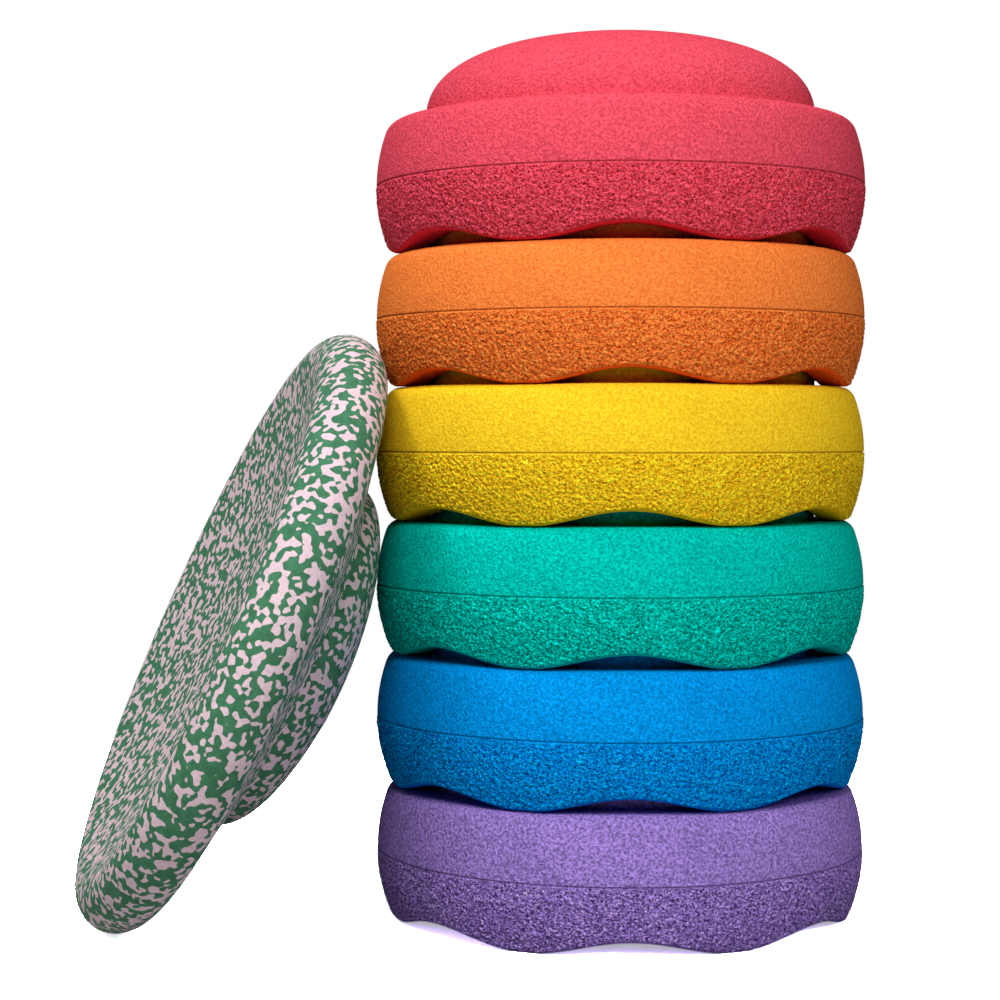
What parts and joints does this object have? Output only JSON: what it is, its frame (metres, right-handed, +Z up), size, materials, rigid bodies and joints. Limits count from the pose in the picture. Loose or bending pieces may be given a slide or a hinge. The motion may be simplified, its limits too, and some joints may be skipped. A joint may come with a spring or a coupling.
{
  "type": "kids balance stepping stone set",
  "caption": "Nesting stepping stones with wavy foot rims and domed tops, stacked, and a round rocker board that leans on them; all rigid bead foam.",
  "frame": {"origin": "middle of the set's footprint, on the floor", "axes": "+Z up along the stack; -Y faces the viewer; the board leans on the stack from -X"},
  "size_m": [0.4472, 0.3474, 0.494],
  "materials": {
    "purple_foam": "moulded bead foam, fine grain above the seam and leathery grain below it",
    "blue_foam": "moulded bead foam, fine grain above the seam and leathery grain below it",
    "teal_foam": "moulded bead foam, fine grain above the seam and leathery grain below it",
    "yellow_foam": "moulded bead foam, fine grain above the seam and leathery grain below it",
    "orange_foam": "moulded bead foam, fine grain above the seam and leathery grain below it",
    "red_foam": "moulded bead foam, fine grain above the seam and leathery grain below it",
    "mottled_foam": "fused beads of pale pink and green foam, mottled, smooth and matt"
  },
  "bodies": {
    "purple_stone": {"purple_stone": "purple_foam"},
    "blue_stone": {"blue_stone": "blue_foam"},
    "teal_stone": {"teal_stone": "teal_foam"},
    "yellow_stone": {"yellow_stone": "yellow_foam"},
    "orange_stone": {"orange_stone": "orange_foam"},
    "red_stone": {"red_stone": "red_foam"},
    "rocker_board": {"rocker_board": "mottled_foam"}
  },
  "joints": [
    {"name": "blue_lift", "type": "slide", "parent": "purple_stone", "child": "blue_stone", "axis": [0, 0, 1], "range_m": [0, 0.08]},
    {"name": "teal_lift", "type": "slide", "parent": "blue_stone", "child": "teal_stone", "axis": [0, 0, 1], "range_m": [0, 0.08]},
    {"name": "yellow_lift", "type": "slide", "parent": "teal_stone", "child": "yellow_stone", "axis": [0, 0, 1], "range_m": [0, 0.08]},
    {"name": "orange_lift", "type": "slide", "parent": "yellow_stone", "child": "orange_stone", "axis": [0, 0, 1], "range_m": [0, 0.08]},
    {"name": "red_lift", "type": "slide", "parent": "orange_stone", "child": "red_stone", "axis": [0, 0, 1], "range_m": [0, 0.08]},
    {"name": "board_tip", "type": "hinge", "parent": "purple_stone", "child": "rocker_board", "pos_m": [-0.19577, -0.01444, 0.019], "axis": [0.2215, -0.9751, 0], "range_deg": [0, 114.3]}
  ]
}
